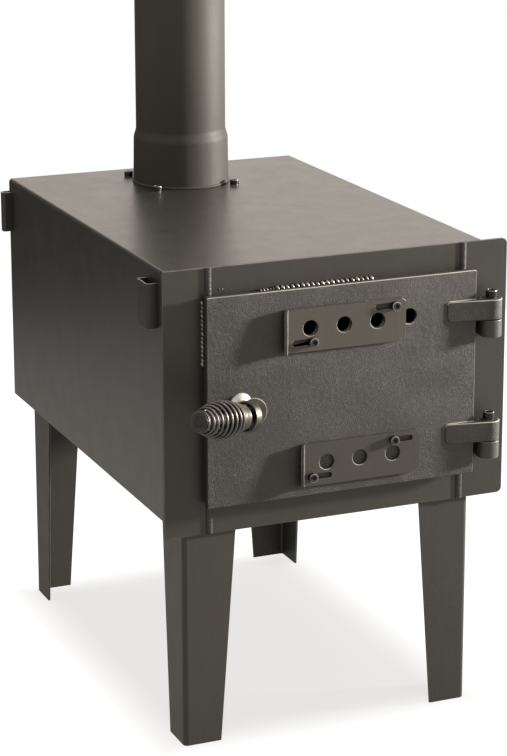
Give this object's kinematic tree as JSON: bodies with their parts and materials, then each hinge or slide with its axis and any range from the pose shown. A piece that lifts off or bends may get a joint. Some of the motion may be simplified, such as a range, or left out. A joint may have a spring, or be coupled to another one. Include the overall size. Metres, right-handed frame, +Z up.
{
  "type": "tent wood stove",
  "caption": "Portable wood stove: folded steel firebox on tapered legs, cast door on screw hinges, sliding air vents, spring-grip latch and lift-off flue pipe.",
  "frame": {"origin": "on the floor, under the middle of the whole stove", "axes": "+Z up along the flue, -Y out of the door, +X towards the door's hinges"},
  "size_m": [0.3919, 0.613, 0.9143],
  "materials": {
    "sheet_steel": "satin",
    "frame_steel": "satin",
    "weld_metal": "gloss",
    "cast_door": "satin",
    "rope": "matte",
    "hinge_steel": "satin",
    "black_screw": "satin",
    "slider_steel": "satin",
    "zinc": "satin",
    "polished_steel": "gloss",
    "rod_steel": "satin",
    "spring_steel": "gloss",
    "flue_steel": "satin",
    "leg_steel": "satin",
    "grate_iron": "matte"
  },
  "bodies": {
    "stove": {"firebox_shell": "sheet_steel", "floor_plate": "sheet_steel", "back_plate": "sheet_steel", "front_left_strip": "frame_steel", "front_right_strip": "frame_steel", "front_top_strip": "frame_steel", "front_bottom_strip": "frame_steel", "frame_weld_beads": "weld_metal", "door_seat": "frame_steel", "seat_weld_beads": "weld_metal", "upper_hinge_knuckle": "hinge_steel", "lower_hinge_knuckle": "hinge_steel", "upper_hinge_pin": "black_screw", "lower_hinge_pin": "black_screw", "flue_collar": "flue_steel", "flue_screws": "black_screw", "flue_nuts": "zinc", "front_left_leg": "leg_steel", "front_right_leg": "leg_steel", "rear_left_leg": "leg_steel", "rear_right_leg": "leg_steel", "leg_bolts": "zinc", "leg_nuts": "zinc", "front_left_socket": "sheet_steel", "rear_left_socket": "sheet_steel", "front_right_socket": "sheet_steel", "rear_right_socket": "sheet_steel", "fire_grate": "grate_iron"},
    "door": {"door": "cast_door", "door_gasket": "rope", "vent_screws": "black_screw", "vent_nuts": "zinc", "spindle_bush": "polished_steel"},
    "upper_vent": {"upper_vent_slider": "slider_steel"},
    "lower_vent": {"lower_vent_slider": "slider_steel"},
    "latch": {"handle_rod": "rod_steel", "grip_cup": "rod_steel", "grip_spring": "spring_steel", "grip_end_cap": "rod_steel", "latch_washer": "zinc", "latch_cam": "rod_steel", "latch_nut": "zinc"},
    "pipe": {"flue_pipe": "flue_steel"}
  },
  "joints": [
    {"name": "door_hinge", "type": "hinge", "parent": "stove", "child": "door", "pos_m": [0.1725, -0.197, 0.367], "axis": [0, 0, 1], "range_deg": [0, 170]},
    {"name": "upper_vent_slide", "type": "slide", "parent": "door", "child": "upper_vent", "axis": [1, 0, 0], "range_m": [0, 0.0185]},
    {"name": "lower_vent_slide", "type": "slide", "parent": "door", "child": "lower_vent", "axis": [1, 0, 0], "range_m": [-0.0185, 0]},
    {"name": "latch_turn", "type": "hinge", "parent": "door", "child": "latch", "pos_m": [-0.106, -0.197, 0.3655], "axis": [0, -1, 0], "range_deg": [0, 90]},
    {"name": "pipe_lift", "type": "slide", "parent": "stove", "child": "pipe", "axis": [0, 0, 1], "range_m": [0, 0.06]}
  ]
}
